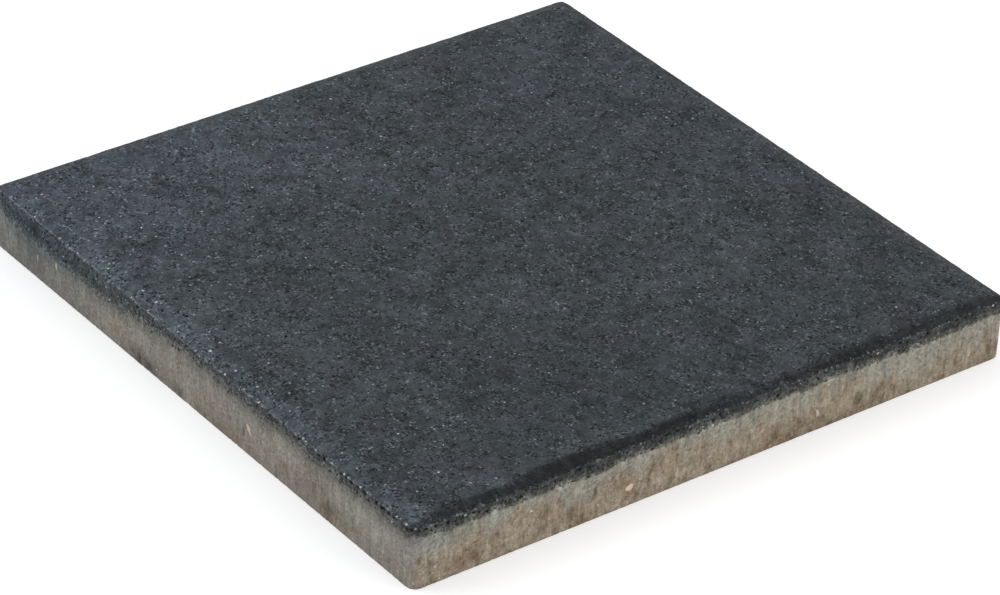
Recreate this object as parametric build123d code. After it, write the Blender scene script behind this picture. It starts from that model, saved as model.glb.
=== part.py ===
from build123d import *
import math
import os

# Square concrete paving slab, pressed in one piece, lying flat on its bed face.
# Millimetres. +Z is up, the origin is the centre of the bed face.

# Driving dimensions
slab_length = 500.0          # along X
slab_width = 500.0           # along Y
slab_thickness = 50.0        # along Z, bed face to walking face
corner_radius = 7.0          # upright corners, rounded by the mould box
bevel_width = 12.0           # worn bevel round the walking face, measured inwards
bevel_drop = 3.5             # and measured down from the walking face
bevel_blend_radius = 26.0    # soft shoulder where the bevel runs into the walking face
bed_arris_radius = 0.8       # slight break of the bottom edge


def slab_body():
    """The block as the mould box leaves it: straight sides and rounded upright corners."""
    body = extrude(RectangleRounded(slab_length, slab_width, corner_radius), slab_thickness)
    bottom_edges = body.faces().sort_by(Axis.Z)[0].edges()
    return fillet(bottom_edges, bed_arris_radius)


def section(full_width):
    """Cross-section from side to side: flat bed, upright sides, a bevel and a soft shoulder at each top edge."""
    half = full_width / 2
    slope = math.atan2(bevel_drop, bevel_width)
    reach = bevel_blend_radius * math.tan(slope / 2)      # from the meeting line to each end of the arc
    foot = (bevel_width - reach * math.cos(slope), slab_thickness - reach * math.sin(slope))
    head = (bevel_width + reach, slab_thickness)
    middle = (
        head[0] - bevel_blend_radius * math.sin(slope / 2),
        slab_thickness - bevel_blend_radius * (1 - math.cos(slope / 2)),
    )
    arris = slab_thickness - bevel_drop

    def right(point):
        return (half - point[0], point[1])

    def left(point):
        return (point[0] - half, point[1])

    outline = [
        Line((-half, 0), (half, 0)),
        Line((half, 0), (half, arris)),
        Line((half, arris), right(foot)),
        ThreePointArc(right(foot), right(middle), right(head)),
        Line(right(head), left(head)),
        ThreePointArc(left(head), left(middle), left(foot)),
        Line(left(foot), (-half, arris)),
        Line((-half, arris), (-half, 0)),
    ]
    return make_face(Curve() + outline)


def pressed_shape():
    """What the face plate of the press leaves: four shallow bevels that meet in mitres."""
    along_y = extrude(Plane.XZ * section(slab_length), slab_width / 2, both=True)
    along_x = extrude(Plane.YZ * section(slab_width), slab_length / 2, both=True)
    return along_y & along_x


paving_slab = slab_body() & pressed_shape()
paving_slab = paving_slab.solids()[0]
paving_slab.label = "paving_slab"

os.makedirs("parts", exist_ok=True)
export_step(paving_slab, "parts/paving_slab.step")

box = paving_slab.bounding_box()
print("size", [round(v, 3) for v in (box.size.X, box.size.Y, box.size.Z)])
print("low corner", [round(v, 3) for v in (box.min.X, box.min.Y, box.min.Z)])
print("volume in litres", round(paving_slab.volume / 1e6, 4))
print("valid", paving_slab.is_valid)
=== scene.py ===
import math

import bpy
import numpy as np
from mathutils import Matrix, Vector
from mathutils.geometry import delaunay_2d_cdt


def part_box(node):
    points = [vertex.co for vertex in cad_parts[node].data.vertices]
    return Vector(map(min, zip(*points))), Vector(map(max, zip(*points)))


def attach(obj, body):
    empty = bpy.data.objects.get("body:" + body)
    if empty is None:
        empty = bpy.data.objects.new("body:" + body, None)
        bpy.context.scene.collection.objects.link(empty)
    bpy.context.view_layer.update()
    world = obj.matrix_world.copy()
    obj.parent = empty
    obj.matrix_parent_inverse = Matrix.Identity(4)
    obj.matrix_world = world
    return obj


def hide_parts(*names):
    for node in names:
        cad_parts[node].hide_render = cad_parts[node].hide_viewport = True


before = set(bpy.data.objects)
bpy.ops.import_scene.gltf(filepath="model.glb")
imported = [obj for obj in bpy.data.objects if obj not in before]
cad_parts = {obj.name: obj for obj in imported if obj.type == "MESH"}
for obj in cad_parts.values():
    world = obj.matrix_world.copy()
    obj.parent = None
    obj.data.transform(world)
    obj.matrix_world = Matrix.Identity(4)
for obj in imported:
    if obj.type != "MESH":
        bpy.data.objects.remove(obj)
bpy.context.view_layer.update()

# Square pressed concrete slab with a dark face mix, a shallow worn bevel and a beige backing mix.
# The work is done in millimetres and written to the mesh in metres.

node_lo, node_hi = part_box("paving_slab")

HALF = (node_hi.x - node_lo.x) * 500.0       # half of one side
THICK = (node_hi.z - node_lo.z) * 1000.0
RADIUS = 7.0                                 # upright corners
DROP = 3.5                                   # bevel, measured down from the walking face
SKIN = 0.2                                   # the mean surface lies this far inside the outer box
REACH = 4.0                                  # the side strip runs this far in over the bevel
LOOP = 0.8                                   # break of the bottom edge
FLAT = HALF - RADIUS
ARC = RADIUS * math.pi / 2
PERIM = 8 * FLAT + 4 * ARC


# ---------------------------------------------------------------- noise

def hashed(ix, iy, iz, seed):
    h = (ix * 374761393 + iy * 668265263 + iz * 1440662683 + seed * 362437) & 0xFFFFFFFF
    h = ((h ^ (h >> 13)) * 1274126177) & 0xFFFFFFFF
    h = ((h ^ (h >> 15)) * 1103515245) & 0xFFFFFFFF
    return (h ^ (h >> 16)) / 4294967295.0


def noise(points, size, seed, octaves=1):
    """Smooth noise of about -1 to 1. points is (n, 3) in mm, size the wavelength in mm, one number or three."""
    total = np.zeros(len(points))
    weight = 0.0
    for octave in range(octaves):
        p = points / (np.asarray(size, float) / 2 ** octave) + 17.3 * octave + 0.37 * seed
        base = np.floor(p).astype(np.int64)
        f = p - base
        f = f * f * f * (f * (f * 6 - 15) + 10)
        value = np.zeros(len(p))
        for dx in (0, 1):
            for dy in (0, 1):
                for dz in (0, 1):
                    w = (f[:, 0] if dx else 1 - f[:, 0]) * (f[:, 1] if dy else 1 - f[:, 1]) * (f[:, 2] if dz else 1 - f[:, 2])
                    value += w * hashed(base[:, 0] + dx, base[:, 1] + dy, base[:, 2] + dz, seed + 101 * octave)
        total += (value * 2 - 1) * 0.55 ** octave
        weight += 0.55 ** octave
    return 1.6 * total / weight


def smooth(x, a, b):
    t = np.clip((x - a) / (b - a), 0, 1)
    return t * t * (3 - 2 * t)


# ---------------------------------------------------------------- the outline

def perimeter(s):
    """Plan position and outward normal at the arc length s, from the middle of the +Y side, anticlockwise."""
    s = np.mod(np.asarray(s, float), PERIM)
    x, y = np.zeros_like(s), np.zeros_like(s)
    nx, ny = np.zeros_like(s), np.zeros_like(s)
    start = 0.0
    spans = [("line", FLAT, 0, 1), ("arc", ARC, -1, 1), ("line", 2 * FLAT, -1, 0), ("arc", ARC, -1, -1),
             ("line", 2 * FLAT, 0, -1), ("arc", ARC, 1, -1), ("line", 2 * FLAT, 1, 0), ("arc", ARC, 1, 1),
             ("line", FLAT, 0, 1)]
    turned = 90.0
    for k, (kind, length, a, b) in enumerate(spans):
        last = k == len(spans) - 1
        m = (s >= start) & ((s < start + length) | last)
        u = s[m] - start
        if kind == "line":
            if b == 1:
                px = -u if k == 0 else FLAT - u
                py = np.full_like(u, HALF)
            elif a == -1:
                px, py = np.full_like(u, -HALF), FLAT - u
            elif b == -1:
                px, py = -FLAT + u, np.full_like(u, -HALF)
            else:
                px, py = np.full_like(u, HALF), -FLAT + u
            x[m], y[m], nx[m], ny[m] = px, py, a, b
        else:
            angle = np.radians(turned) + u / RADIUS
            nx[m], ny[m] = np.cos(angle), np.sin(angle)
            x[m], y[m] = a * FLAT + RADIUS * np.cos(angle), b * FLAT + RADIUS * np.sin(angle)
            turned += 90.0
        start += length
    return x, y, nx, ny


S_LEFT = FLAT + ARC                           # arc length where the -X side starts, at y = +FLAT
S_RIGHT = S_LEFT + 2 * FLAT + ARC             # where the -Y side starts, at x = -FLAT


def s_left(y):
    """Arc length of a point of the -X side."""
    return S_LEFT + FLAT - y


def s_right(x):
    """Arc length of a point of the -Y side."""
    return S_RIGHT + FLAT + x


# ---------------------------------------------------------------- the pressed face

def bevel_widths(x, y):
    """Width of the worn bevel at a point, for the sides -X, -Y, +X and +Y."""
    zero = np.zeros_like(x)
    left = 14.6 + 1.1 * noise(np.stack([zero, y, zero], 1), 42.0, 3, 2)
    right = np.interp(x, [-250, -246, -236, -165, -148, -92, -76, -20, 60, 96, 120, 175, 250],
                      [8.0, 8.4, 9.4, 9.8, 12.8, 13.0, 9.0, 8.2, 8.6, 9.6, 10.2, 9.6, 10.4])
    right = right + 1.15 * noise(np.stack([x, zero, zero], 1), 21.0, 5, 2)
    back_right = 12.0 + 1.0 * noise(np.stack([zero, y, zero], 1), 45.0, 7, 2)
    back_left = 12.0 + 1.0 * noise(np.stack([x, zero, zero], 1), 45.0, 9, 2)
    return left, right, back_right, back_left


def face_height(x, y):
    """Height of the walking face and how far the point is on the bevels of the four sides."""
    inset = (x + HALF, y + HALF, HALF - x, HALF - y)
    drop = np.zeros_like(x)
    on = []
    for d, w in zip(inset, bevel_widths(x, y)):
        e = 4.0 * DROP / w
        u = (w - d) * DROP / w
        f = np.where(u < -e, 0.0, np.where(u > e, u, (u + e) ** 2 / (4 * e)))
        drop = np.maximum(drop, f)
        on.append(smooth(w + 1.5 - d, 0.0, 4.0))
    return THICK - np.minimum(drop, DROP + 0.3), on


def dark_band(x, y):
    """How far a point is in the dark band on the bevel of the -Y side, darker paste with painted shade on it; its
    upper edge is softer away from the front corner.
    """
    w = bevel_widths(x, y)[1]
    soft = np.interp(x, [-250, -60, 20, 120, 250], [2.0, 2.2, 3.0, 5.0, 5.0])
    return smooth(w + soft - 0.5 - (y + HALF), 0.0, 2 * soft)


# ---------------------------------------------------------------- sample points

def jittered(x0, x1, y0, y1, step_x, step_y, rng, amount=0.3):
    """A staggered grid with every point moved a little."""
    nx, ny = max(int(round((x1 - x0) / step_x)), 1), max(int(round((y1 - y0) / step_y)), 1)
    gx, gy = np.meshgrid(np.arange(nx), np.arange(ny))
    px = x0 + (gx + 0.5 + 0.25 * (1 - 2 * (gy % 2))) * (x1 - x0) / nx
    py = y0 + (gy + 0.5) * (y1 - y0) / ny
    p = np.stack([px.ravel(), py.ravel()], 1)
    p[:, 0] += rng.uniform(-amount, amount, len(p)) * (x1 - x0) / nx
    p[:, 1] += rng.uniform(-amount, amount, len(p)) * (y1 - y0) / ny
    p[:, 0] = np.clip(p[:, 0], x0 + 0.05 * step_x, x1 - 0.05 * step_x)
    return p


class Cloud:
    """Points of one flat domain with what each adds to the surface."""

    KEYS = ("off", "pit", "grain", "tone")

    def __init__(self):
        self.xy, self.rows, self.spots = [], [], []
        self.discs = []

    def add(self, xy, off=0.0, pit=0.0, grain=0.0, tone=0.0, spot=None):
        self.xy.append(np.atleast_2d(xy))
        n = len(self.xy[-1])
        self.rows.append(np.stack([np.broadcast_to(np.asarray(v, float), n) for v in (off, pit, grain, tone)], 1))
        s = np.zeros((n, 4))
        if spot is not None:
            s[:] = spot
        self.spots.append(s)

    def feature(self, cx, cy, rx, ry, tilt, rings, rng, ragged=0.22, tone=0.0, colour=None):
        """A pit, grain or pebble: rings is a list of (radius, points, offset, pit, grain, colour share)."""
        phase = rng.uniform(0, 2 * math.pi, 4)
        ct, st = math.cos(tilt), math.sin(tilt)
        for radius, count, off, pit, grain, share in rings:
            if radius == 0:
                p = np.array([[cx, cy]])
            else:
                a = (np.arange(count) + rng.uniform(0, 0.6)) * 2 * math.pi / count
                r = radius * (1 + ragged * (0.6 * np.sin(2 * a + phase[0]) + 0.5 * np.sin(3 * a + phase[1]) + 0.25 * np.sin(5 * a + phase[2])))
                u, v = rx * r * np.cos(a), ry * r * np.sin(a)
                p = np.stack([cx + u * ct - v * st, cy + u * st + v * ct], 1)
            spot = None if colour is None or share is None else (*colour, share)
            self.add(p, off, pit, grain, tone, spot)
        self.discs.append((cx, cy, max(rx, ry) * max(r[0] for r in rings) * (1 + 0.5 * ragged) + 0.1))

    def free(self, points, margin=0.0):
        """Which of the points lie clear of every feature."""
        keep = np.ones(len(points), bool)
        if not self.discs:
            return keep
        d = np.array(self.discs)
        order = np.argsort(points[:, 0])
        px = points[order, 0]
        for cx, cy, r in d:
            r = r + margin
            a, b = np.searchsorted(px, (cx - r, cx + r))
            idx = order[a:b]
            hit = (points[idx, 0] - cx) ** 2 + (points[idx, 1] - cy) ** 2 < r * r
            keep[idx[hit]] = False
        return keep

    def clear(self, cx, cy, r):
        """Whether a new feature of radius r would be clear of the others."""
        if not self.discs:
            return True
        d = np.array(self.discs[-6000:])
        return bool(np.all((d[:, 0] - cx) ** 2 + (d[:, 1] - cy) ** 2 > (d[:, 2] + r) ** 2))

    def done(self):
        return np.concatenate(self.xy), np.concatenate(self.rows), np.concatenate(self.spots)


def pit_rings(depth, r):
    if r < 0.6:
        return [(0, 1, -depth, 1.0, 0, None), (1.0, 7, 0.0, 0.0, 0, None)]
    return [(0, 1, -depth, 1.0, 0, None), (0.58, 6, -0.8 * depth, 0.95, 0, None), (1.0, 9, 0.0, 0.0, 0, None)]


def grain_rings(height, r):
    if r < 0.55:
        return [(0, 1, height, 0, 1.0, None), (1.0, 6, 0.0, 0, 0.0, None)]
    return [(0, 1, height, 0, 1.0, None), (0.62, 6, 0.8 * height, 0, 1.0, None), (1.0, 8, 0.0, 0, 0.0, None)]


def pebble_rings(height):
    return [(0, 1, height, 0, 0, 1.0), (0.55, 7, 0.85 * height, 0, 0, 1.0), (0.93, 11, 0.3 * height, 0, 0, 0.9), (1.25, 12, 0.0, 0, 0, 0.0)]


def stain_rings(depth):
    return [(0, 1, -depth, 0.1, 0, 0.9), (0.55, 7, -0.9 * depth, 0.1, 0, 0.75), (1.0, 11, -0.2 * depth, 0, 0, 0.35), (1.4, 12, 0.0, 0, 0, 0.0)]


def triangulate(points, border):
    """Triangles of the points inside the border, as indices of the points, anticlockwise."""
    verts, _, faces, orig, _, _ = delaunay_2d_cdt([Vector(p) for p in points.tolist()], [], [border], 1, 1e-6, True)
    back = np.array([o[0] if len(o) else -1 for o in orig])
    tri = back[np.array([f for f in faces if len(f) == 3])]
    tri = tri[(tri >= 0).all(1)]
    a, b, c = points[tri[:, 0]], points[tri[:, 1]], points[tri[:, 2]]
    area = (b[:, 0] - a[:, 0]) * (c[:, 1] - a[:, 1]) - (b[:, 1] - a[:, 1]) * (c[:, 0] - a[:, 0])
    tri[area < 0] = tri[area < 0][:, ::-1]
    return tri


# ---------------------------------------------------------------- domain 1: the walking face

# samples round the loop where the side strip and the walking face meet, and round the bed
def loop_samples(straight, curved):
    cuts = [0.0]
    for length, step in [(FLAT, straight), (ARC, curved), (2 * FLAT, straight), (ARC, curved), (2 * FLAT, straight),
                         (ARC, curved), (2 * FLAT, straight), (ARC, curved), (FLAT, straight)]:
        n = int(round(length / step))
        cuts += list(cuts[-1] + length * (np.arange(n) + 1) / n)
    return np.array(cuts[:-1])


S_TOP = loop_samples(1.8, 1.2)
S_BED = loop_samples(3.2, 1.3)

top = Cloud()
px, py, nx, ny = perimeter(S_TOP)
top_border = np.stack([px - REACH * nx, py - REACH * ny], 1)
top.add(top_border)

# light grains and dark pits that stand out in the photo: x, y, radius
BRIGHT = [(-201, -208.5, 0.95), (-197, 144, 0.9), (-197, -158.6, 1.0), (-214, 171, 0.7), (-220, -44, 0.75), (-110, 35, 0.75),
          (-30, -174, 0.7), (-195, 129, 0.7), (-180, -185, 0.7), (-15, -91, 0.65)]
DARK = [(-225, -156, 1.2), (-184, -119, 1.15), (-193, -163, 1.0), (-201, -156, 0.9), (22, 38, 1.0), (20, -44, 0.95), (228, -163, 1.0),
        (215, 57, 0.9), (145, -9, 1.0), (-56, 180, 1.0)]
rng = np.random.default_rng(11)
for x, y, r in BRIGHT:
    top.feature(x, y, r, r * 0.85, rng.uniform(0, 3), grain_rings(0.18, r), rng, tone=1.0)
for x, y, r in DARK:
    top.feature(x, y, r, r * 0.8, rng.uniform(0, 3), pit_rings(0.9, r), rng)
# stones and break-outs on the worn bevel of the -X side
for x, y, r, t in [(-240, 60, 1.4, 0.5), (-242.5, -9, 1.5, 0.55), (-233, -6, 1.2, 0.4), (-239.5, 77, 1.2, 0.45), (-228, 32, 1.1, 0.35),
                   (-241, -62, 1.1, 0.4), (-242, -38, 1.2, 0.4), (-240, 118, 1.0, 0.35), (-243, 28, 1.0, 0.3)]:
    top.feature(x, y, r, r * 0.85, rng.uniform(0, 3), grain_rings(0.3, r), rng, tone=t)
for x, y, r in [(-241.5, 50, 1.7), (-243, 66.5, 1.4), (-243, 3, 1.3), (-242.5, -17, 1.5), (-239, 22, 1.2), (-243, -47, 1.3), (-242, 95, 1.4),
                (-242.5, -84, 1.3)]:
    top.feature(x, y, r, r * 0.75, rng.uniform(1.2, 1.9), pit_rings(1.1, r), rng, ragged=0.35)


def scatter_top(count, kind, rng):
    xy = rng.uniform(-HALF + 6.5, HALF - 6.5, (count * 8, 2))
    here = np.concatenate([xy, np.zeros((len(xy), 1))], 1)
    crowd = 0.62 + 0.45 * noise(here, 34.0, 21 if kind == "pit" else 22, 2)
    on_bevel = np.max(face_height(xy[:, 0], xy[:, 1])[1], axis=0)
    chosen = rng.random(len(xy)) < crowd * (1 - 0.6 * on_bevel)
    made = 0
    for x, y in xy[chosen]:
        if kind == "pit":
            r = float(np.clip(rng.lognormal(math.log(0.85), 0.32), 0.5, 1.8))
        else:
            r = float(np.clip(rng.lognormal(math.log(0.72), 0.28), 0.45, 1.3))
        if not top.clear(x, y, r + 0.35):
            continue
        flat = rng.uniform(0.6, 1.0)
        if kind == "pit":
            top.feature(x, y, r, r * flat, rng.uniform(0, math.pi), pit_rings(r * rng.uniform(0.45, 0.75), r), rng)
        else:
            top.feature(x, y, r, r * flat, rng.uniform(0, math.pi), grain_rings(rng.uniform(0.08, 0.2), r), rng,
                        tone=float(rng.beta(1.0, 4.0)))
        made += 1
        if made == count:
            break


scatter_top(1000, "pit", np.random.default_rng(12))
scatter_top(750, "grain", np.random.default_rng(13))

rng = np.random.default_rng(14)
inner = HALF - 21.0
base = jittered(-inner, inner, -inner, inner, 4.6, 4.2, rng)
edge = HALF - REACH - 1.4
band = jittered(-edge, edge, -edge, edge, 2.5, 2.3, rng)
band = band[(np.abs(band) > inner).any(1)]
corner = np.hypot(np.maximum(np.abs(band[:, 0]) - FLAT, 0), np.maximum(np.abs(band[:, 1]) - FLAT, 0))
band = band[corner < RADIUS - REACH - 1.2]
base = np.concatenate([base, band])
base = base[top.free(base, 0.35)]
top.add(base)
top_xy, top_rows, top_spots = top.done()
top_tri = triangulate(top_xy, list(range(len(top_border))))


# ---------------------------------------------------------------- domain 2: the sides, arris and bevel foot

# t runs up the side: 0 to 1.2 round the bottom edge, to T_ARRIS at the arris, then REACH mm in over the bevel
T_ARRIS = THICK - DROP
T_END = T_ARRIS + REACH

strip = Cloud()
n_top, n_bed = len(S_TOP), len(S_BED)
strip.add(np.stack([S_BED, np.zeros(n_bed)], 1))
strip.add([[PERIM, 0.0]])
seam_t = np.concatenate([np.arange(1, 13) * 3.0, 36 + np.arange(1, 8) * 1.3, T_ARRIS + np.array([-0.6, -0.1, 0.4, 1.0, 2.0, 3.0])])
strip.add(np.stack([np.full(len(seam_t), PERIM), seam_t], 1))
strip.add([[PERIM, T_END]])
strip.add(np.stack([S_TOP[::-1], np.full(n_top, T_END)], 1))
strip.add(np.stack([np.zeros(len(seam_t)), seam_t[::-1]], 1))
strip_border = list(range(n_bed + 1 + len(seam_t) + 1 + n_top + len(seam_t)))


def mix_line(x, y):
    """Height on the sides where the dark face mix meets the backing mix."""
    left = np.interp(y, [-250, -180, -130, -100, -75, -60, 0, 14, 39, 71, 95, 150, 186, 216, 234, 241, 250],
                     [39.0, 38.2, 38.0, 37.6, 37.0, 36.8, 36.8, 36.8, 34.6, 32.2, 28.9, 27.2, 23.8, 22.6, 24.6, 32.0, 35.0])
    right = np.interp(x, [-250, -232, -200, -150, -100, -75, -50, 0, 60, 120, 180, 250],
                      [40.4, 38.7, 37.4, 36.5, 36.2, 37.0, 35.8, 37.2, 37.3, 36.8, 36.2, 36.6])
    zero = np.zeros_like(x)
    back_right = 37.5 + 1.6 * noise(np.stack([zero, y, zero], 1), 80.0, 31, 2)
    back_left = 35.5 + 2.6 * noise(np.stack([x, zero, zero], 1), 90.0, 33, 2)
    weights = [np.maximum(v, 0) ** 8 + 1e-12 for v in (-x / HALF, -y / HALF, x / HALF, y / HALF)]
    total = sum(weights)
    line = sum(w * v for w, v in zip(weights, (left, right, back_right, back_left))) / total
    here = np.stack([x, y, zero], 1)
    return line + 0.8 * noise(here, 17.0, 35) + 0.7 * noise(here, 6.5, 36)


rng = np.random.default_rng(15)
# pits in a row along the arris near the front corner: arc length, distance below the arris, half width, half height
CORNER_PITS = [(s_left(-122), -1.5, 2.0, 1.2, 1.1), (s_left(-150), -1.7, 2.1, 1.4, 1.3), (s_left(-169.7), -1.5, 2.3, 1.3, 1.2), (s_left(-175.2), -1.4, 2.0, 1.1, 1.0),
               (s_left(-187), -1.9, 2.0, 1.4, 1.3), (s_left(-194.2), -2.1, 2.6, 1.9, 1.8), (s_left(-199.6), -4.9, 2.2, 1.9, 1.6), (s_left(-208), -1.6, 1.8, 1.2, 1.2),
               (s_left(-214.4), -2.2, 3.3, 1.9, 1.9), (s_left(-221.6), -1.9, 2.1, 1.4, 1.4), (s_left(-227), -2.0, 1.9, 1.5, 1.3), (s_left(-237), -1.7, 2.1, 1.4, 1.3),
               (s_left(-242) + 3.5, -1.4, 1.7, 1.1, 1.1), (s_left(-242) + 9.5, -1.5, 1.7, 1.1, 1.0), (s_right(-240), -1.6, 1.8, 1.0, 1.0),
               (s_right(-233), -1.8, 1.6, 1.0, 1.0), (s_right(-223.5), -2.6, 2.2, 1.3, 1.2), (s_right(-211), -2.2, 1.7, 1.1, 1.0), (s_right(-203), -2.8, 2.0, 1.2, 1.1),
               (s_right(-119), -1.6, 3.3, 1.6, 1.3), (s_right(-46), -1.5, 3.1, 1.6, 1.2), (s_right(-38), -1.5, 2.7, 1.3, 1.1), (s_right(154), -1.4, 2.3, 1.3, 1.1),
               (s_right(205), -1.3, 2.7, 1.2, 1.1), (s_right(212), -1.5, 2.3, 1.1, 1.0)]
for s, dt, a, b, deep in CORNER_PITS:
    strip.feature(s, T_ARRIS + dt, a, b, rng.uniform(-0.2, 0.2),
                  [(0, 1, -deep, 1.0, 0, None), (0.6, 7, -0.85 * deep, 1.0, 0, None), (1.0, 11, 0.0, 0.0, 0, None)], rng, ragged=0.25)
# light beads on the arris above them: arc length, radius
for s, a in ((s_left(-172), 1.2), (s_left(-176.5), 1.0), (s_left(-190), 1.2), (s_left(-158.5), 1.1), (s_left(-229.5), 1.1), (s_left(-240), 1.2),
             (s_left(-242) + 6.5, 1.0), (s_left(-129), 1.0), (s_right(-236.5), 1.0), (s_right(-216), 1.1), (s_left(-140.5), 0.8)):
    strip.feature(s, T_ARRIS + 0.9, a, 0.8 * a, rng.uniform(-0.3, 0.3), grain_rings(0.2, a), rng, tone=0.55)

# pebbles, holes and stains on the two sides that the photo shows: arc length, height, radii, tilt, colour
PEBBLES = [(s_right(-76), 14.7, 2.9, 2.2, 0.4, (0.5, 0.39, 0.31)), (s_right(-157), 27.0, 1.1, 1.0, 0.0, (0.45, 0.42, 0.36)),
           (s_right(-210), 44.5, 1.1, 0.8, 0.2, (0.34, 0.33, 0.3)), (s_right(134), 44.0, 1.0, 0.8, 0.1, (0.33, 0.33, 0.3)),
           (s_right(84), 14.0, 1.2, 3.0, 0.1, (0.36, 0.32, 0.26)), (s_left(169.7), 23.1, 1.4, 2.5, 0.0, (0.33, 0.32, 0.28)),
           (s_left(193.7), 17.4, 0.9, 2.3, 0.0, (0.24, 0.235, 0.215)), (s_left(-66), 20.5, 1.7, 3.7, 0.5, (0.42, 0.35, 0.26))]
STAINS = [(s_right(-104.5), 22.0, 1.6, 3.6, 0.1, (0.075, 0.055, 0.035), 0.5), (s_right(121.5), 11.0, 1.3, 1.3, 0.0, (0.05, 0.042, 0.03), 0.7),
          (s_right(143), 7.0, 1.0, 3.0, -0.4, (0.07, 0.045, 0.03), 0.4), (s_left(-60), 16.0, 1.6, 3.0, 0.3, (0.1, 0.07, 0.045), 0.3),
          (s_right(151.5), 16.7, 1.0, 2.6, 0.1, (0.36, 0.22, 0.12), 0.0), (s_right(-245.6), 22.0, 1.8, 3.2, 0.0, (0.1, 0.072, 0.045), 0.3)]
for s, z, a, b, tilt, colour in PEBBLES:
    strip.feature(s, z, a, b, tilt, pebble_rings(0.3), rng, ragged=0.16, colour=colour)
for s, z, a, b, tilt, colour, depth in STAINS:
    strip.feature(s, z, a, b, tilt, stain_rings(depth), rng, ragged=0.25, colour=colour)


def along_arris(first, last, pits, grains, spread, rng):
    """Broken-out pits below the arris and light grains on its rim, between two arc lengths, crowded in places."""
    for s0 in rng.uniform(first, last, pits * 3):
        x0, y0, _, _ = perimeter(np.array([s0]))
        if rng.random() > 0.36 + 0.55 * float(noise(np.array([[x0[0], y0[0], 0.0]]), 22.0, 91)[0]):
            continue
        a = float(np.clip(rng.lognormal(math.log(1.15), 0.42), 0.6, 2.8))
        b = a * rng.uniform(0.6, 1.1) if a < 1.6 else rng.uniform(1.0, 1.6)
        t0 = T_ARRIS - b - rng.uniform(0.0, 0.5) - spread * rng.random() ** 1.7
        if strip.clear(s0, t0, a + 0.1):
            deep = rng.uniform(0.5, 1.0)
            strip.feature(s0, t0, a, b, rng.uniform(-0.5, 0.5),
                          [(0, 1, -deep, 1.0, 0, None), (0.62, 7, -0.85 * deep, 1.0, 0, None), (1.0, 10, 0.0, 0.0, 0, None)], rng, ragged=0.38)
    for s0 in rng.uniform(first, last, grains):
        a = float(np.clip(rng.lognormal(math.log(0.75), 0.25), 0.5, 1.2))
        t0 = T_ARRIS + rng.uniform(-0.4, 1.9)
        if strip.clear(s0, t0, a + 0.1):
            strip.feature(s0, t0, a, a * rng.uniform(0.7, 1.0), 0.0, grain_rings(0.16, a), rng, tone=float(rng.beta(1.4, 3.0)))


def scatter_strip(count, kind, rng):
    n = count * 6
    s = rng.uniform(4.0, PERIM - 4.0, n)
    u = rng.random(n)
    t = {"rough": 27.0 + (T_ARRIS - 28.5) * u, "crumb": 27.0 + (T_ARRIS - 26.8) * u,
         "void": 2.0 + 34.0 * rng.beta(1.2, 1.6, n), "sand": 2.0 + 36.0 * u}[kind]
    keep = np.ones(n, bool)
    if kind in ("rough", "crumb"):
        x, y, _, _ = perimeter(s)
        keep = t > mix_line(x, y) - 0.3
    made = 0
    for s0, t0 in zip(s[keep], t[keep]):
        colour_tone = 0.0
        if kind == "rough":
            a, b = float(np.clip(rng.lognormal(math.log(0.8), 0.3), 0.45, 1.6)), rng.uniform(0.45, 1.0)
            rings, tilt = pit_rings(0.6 * b + 0.15, a), rng.uniform(-0.7, 0.7)
        elif kind == "crumb":
            a = float(np.clip(rng.lognormal(math.log(0.7), 0.3), 0.4, 1.4))
            b = a * rng.uniform(0.6, 1.0)
            rings, colour_tone, tilt = grain_rings(0.25, a), float(rng.beta(1.4, 2.2)), rng.uniform(-0.7, 0.7)
        elif kind == "void":
            a = float(np.clip(rng.lognormal(math.log(0.7), 0.4), 0.45, 1.8))
            b = a * rng.uniform(0.8, 2.2)
            rings, tilt = [(r, c, o * 0.5, p * 0.3, gr, sh) for r, c, o, p, gr, sh in pit_rings(0.35 * a + 0.15, a)], rng.uniform(-0.2, 0.2)
        else:
            a = float(np.clip(rng.lognormal(math.log(0.75), 0.35), 0.45, 2.0))
            b = a * rng.uniform(0.9, 1.8)
            rings, colour_tone, tilt = grain_rings(0.12, a), float(rng.beta(1.0, 3.0)), rng.uniform(-0.4, 0.4)
        if not strip.clear(s0, t0, max(a, b) + 0.1):
            continue
        strip.feature(s0, t0, a, b, tilt, rings, rng, ragged=0.3, tone=colour_tone)
        made += 1
        if made == count:
            break


along_arris(s_left(240), s_left(-244), 84, 70, 1.2, np.random.default_rng(31))
along_arris(s_right(-244), s_right(244), 84, 84, 5.0, np.random.default_rng(32))
along_arris(s_right(244) + 11, s_right(244) + 490, 30, 30, 2.5, np.random.default_rng(33))
along_arris(10.0, 236.0, 14, 14, 2.5, np.random.default_rng(34))
scatter_strip(480, "rough", np.random.default_rng(17))
scatter_strip(330, "crumb", np.random.default_rng(18))
scatter_strip(170, "void", np.random.default_rng(19))
scatter_strip(200, "sand", np.random.default_rng(20))

rng = np.random.default_rng(21)
rows = [jittered(0.9, PERIM - 0.9, 0.25, 0.95, 2.4, 0.7, rng, 0.15), jittered(0.9, PERIM - 0.9, 1.2, 36.0, 2.0, 3.8, rng),
        jittered(0.8, PERIM - 0.8, 36.0, T_ARRIS - 1.3, 1.7, 1.5, rng), jittered(0.6, PERIM - 0.6, T_ARRIS - 1.3, T_ARRIS + 1.1, 1.3, 0.6, rng, 0.22),
        jittered(0.8, PERIM - 0.8, T_ARRIS + 1.1, T_END - 0.5, 1.9, 1.3, rng, 0.2)]
base = np.concatenate(rows)
base = base[strip.free(base, 0.3)]
strip.add(base)
strip_xy, strip_rows, strip_spots = strip.done()
strip_tri = triangulate(strip_xy, strip_border)


# ---------------------------------------------------------------- domain 3: the bed face

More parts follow.
